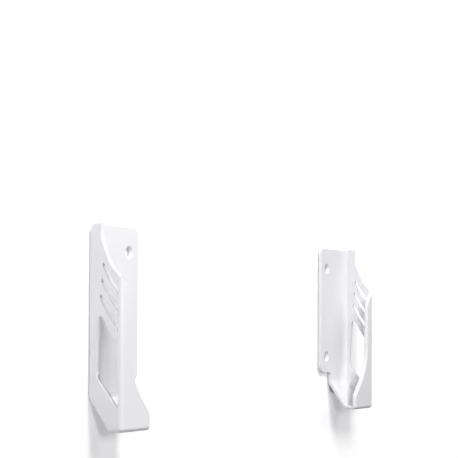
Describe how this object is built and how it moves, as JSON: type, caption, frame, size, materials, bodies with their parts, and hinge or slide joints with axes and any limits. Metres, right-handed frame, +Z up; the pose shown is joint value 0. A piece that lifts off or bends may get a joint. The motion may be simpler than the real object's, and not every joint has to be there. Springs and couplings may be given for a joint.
{
  "type": "tablet wall mount",
  "caption": "Slim white corner brackets that hold a tablet flat against a wall, with a shelf, a front lip, claw-shaped side slots and a window in the side.",
  "frame": {"origin": "centre of the four screw holes, on the plane of both brackets' back faces", "axes": "+X along the wall to the right as seen from the front, +Y into the wall, +Z up"},
  "size_m": [0.2466, 0.0188, 0.092],
  "materials": {
    "white_plastic": "white satin moulded plastic with a faint cool cast",
    "foam_strip": "soft matte foam adhesive strip"
  },
  "bodies": {
    "root": {"left_bracket": "white_plastic", "right_bracket": "white_plastic", "left_adhesive_strip": "foam_strip", "right_adhesive_strip": "foam_strip"}
  },
  "joints": []
}
